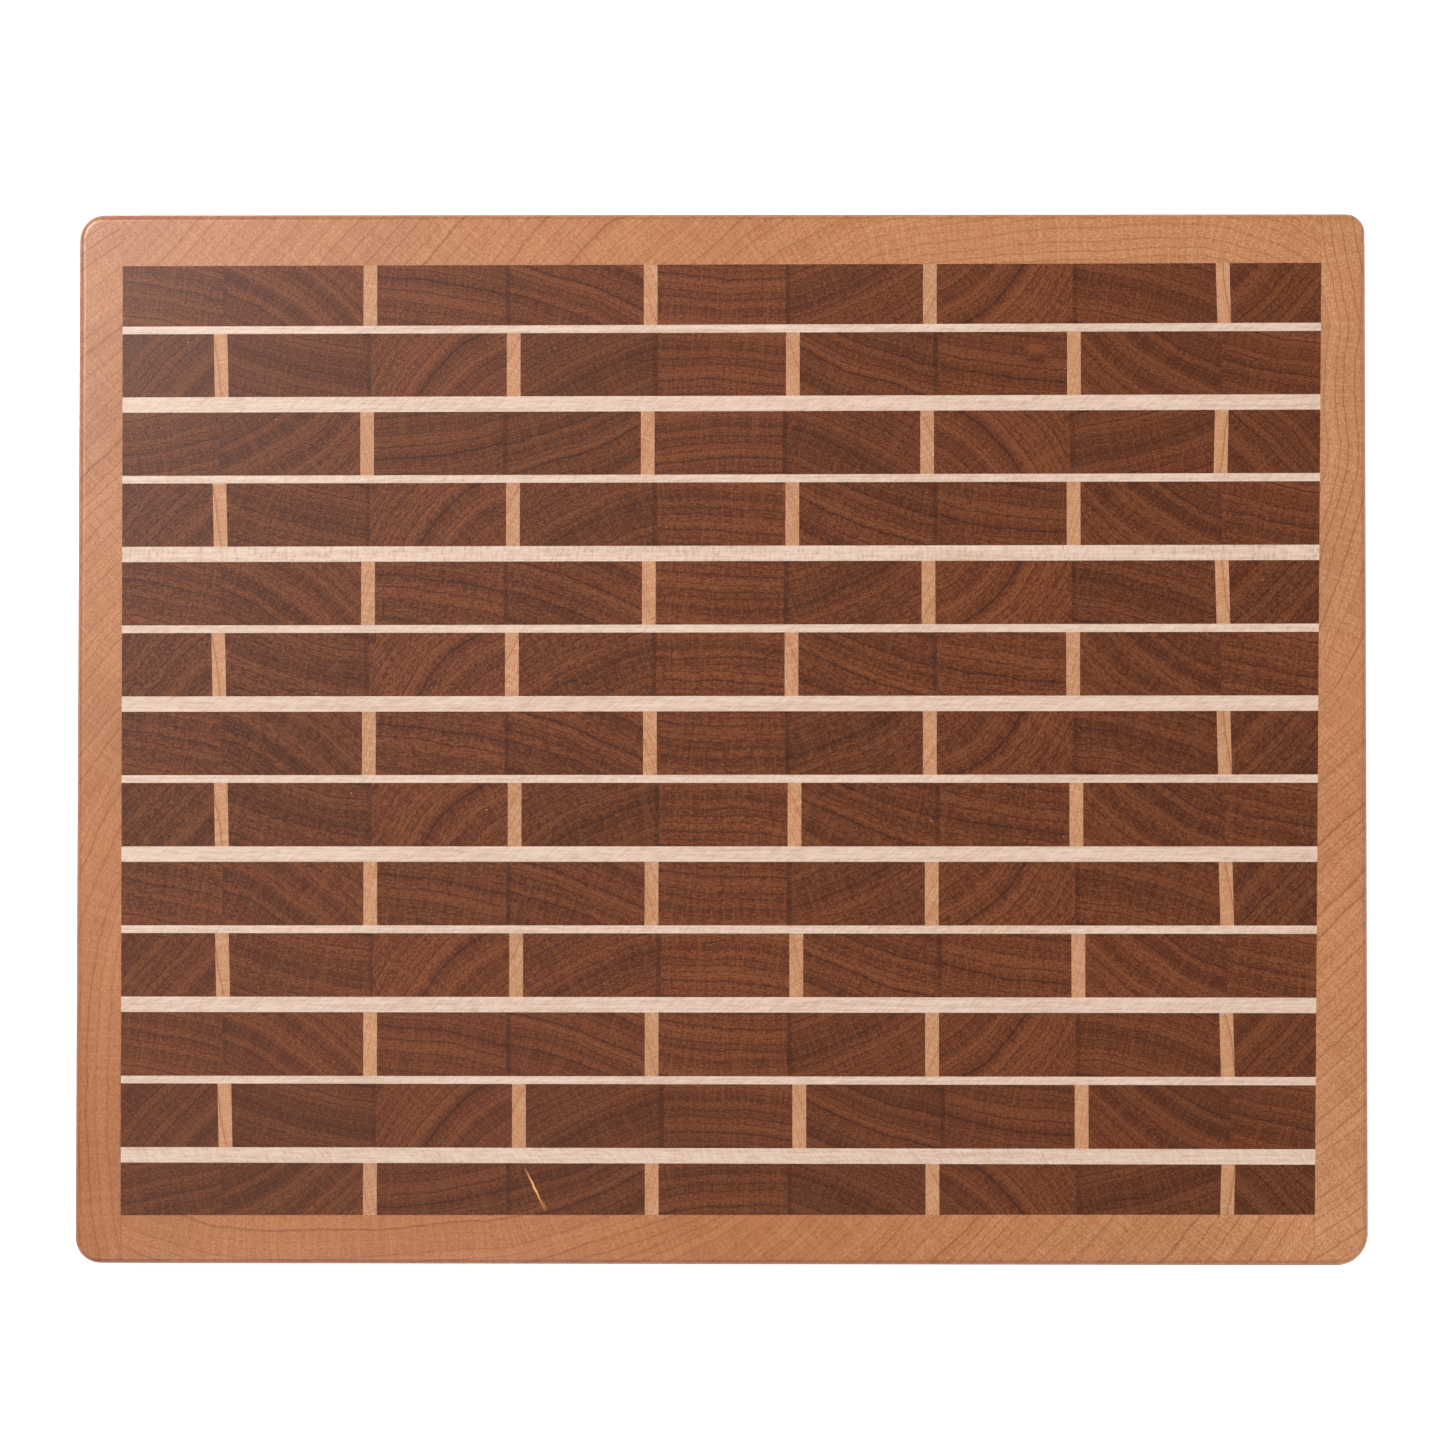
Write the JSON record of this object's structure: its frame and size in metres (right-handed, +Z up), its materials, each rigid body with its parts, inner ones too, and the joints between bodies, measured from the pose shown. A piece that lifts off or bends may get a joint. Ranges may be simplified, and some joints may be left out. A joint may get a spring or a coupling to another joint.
{
  "type": "cutting board",
  "caption": "Framed end-grain cutting board: rows of dark wood blocks laid like brickwork, with pale spacers and strips between them, for chopping and carving.",
  "frame": {"origin": "centre of the underside, where the board rests", "axes": "+X to the right along the rows of blocks (the longest side), +Y to the back, +Z up through the work surface"},
  "size_m": [0.508, 0.4138, 0.038],
  "materials": {
    "dark_end_grain": "oiled walnut end grain, satin",
    "spacer_end_grain": "oiled maple end grain, satin",
    "strip_long_grain": "oiled maple long grain, satin",
    "frame_end_grain": "oiled maple end grain, satin"
  },
  "bodies": {
    "root": {"back_rail": "frame_end_grain", "front_rail": "frame_end_grain", "left_rail": "frame_end_grain", "right_rail": "frame_end_grain", "row_01_left_blocks": "dark_end_grain", "row_01_right_blocks": "dark_end_grain", "row_01_spacers": "spacer_end_grain", "row_02_left_blocks": "dark_end_grain", "row_02_right_blocks": "dark_end_grain", "row_02_spacers": "spacer_end_grain", "row_03_left_blocks": "dark_end_grain", "row_03_right_blocks": "dark_end_grain", "row_03_spacers": "spacer_end_grain", "row_04_left_blocks": "dark_end_grain", "row_04_right_blocks": "dark_end_grain", "row_04_spacers": "spacer_end_grain", "row_05_left_blocks": "dark_end_grain", "row_05_right_blocks": "dark_end_grain", "row_05_spacers": "spacer_end_grain", "row_06_left_blocks": "dark_end_grain", "row_06_right_blocks": "dark_end_grain", "row_06_spacers": "spacer_end_grain", "row_07_left_blocks": "dark_end_grain", "row_07_right_blocks": "dark_end_grain", "row_07_spacers": "spacer_end_grain", "row_08_left_blocks": "dark_end_grain", "row_08_right_blocks": "dark_end_grain", "row_08_spacers": "spacer_end_grain", "row_09_left_blocks": "dark_end_grain", "row_09_right_blocks": "dark_end_grain", "row_09_spacers": "spacer_end_grain", "row_10_left_blocks": "dark_end_grain", "row_10_right_blocks": "dark_end_grain", "row_10_spacers": "spacer_end_grain", "row_11_left_blocks": "dark_end_grain", "row_11_right_blocks": "dark_end_grain", "row_11_spacers": "spacer_end_grain", "row_12_left_blocks": "dark_end_grain", "row_12_right_blocks": "dark_end_grain", "row_12_spacers": "spacer_end_grain", "row_13_left_blocks": "dark_end_grain", "row_13_right_blocks": "dark_end_grain", "row_13_spacers": "spacer_end_grain", "thick_strip_02": "strip_long_grain", "thick_strip_04": "strip_long_grain", "thick_strip_06": "strip_long_grain", "thick_strip_08": "strip_long_grain", "thick_strip_10": "strip_long_grain", "thick_strip_12": "strip_long_grain", "thin_strip_01": "strip_long_grain", "thin_strip_03": "strip_long_grain", "thin_strip_05": "strip_long_grain", "thin_strip_07": "strip_long_grain", "thin_strip_09": "strip_long_grain", "thin_strip_11": "strip_long_grain"}
  },
  "joints": []
}
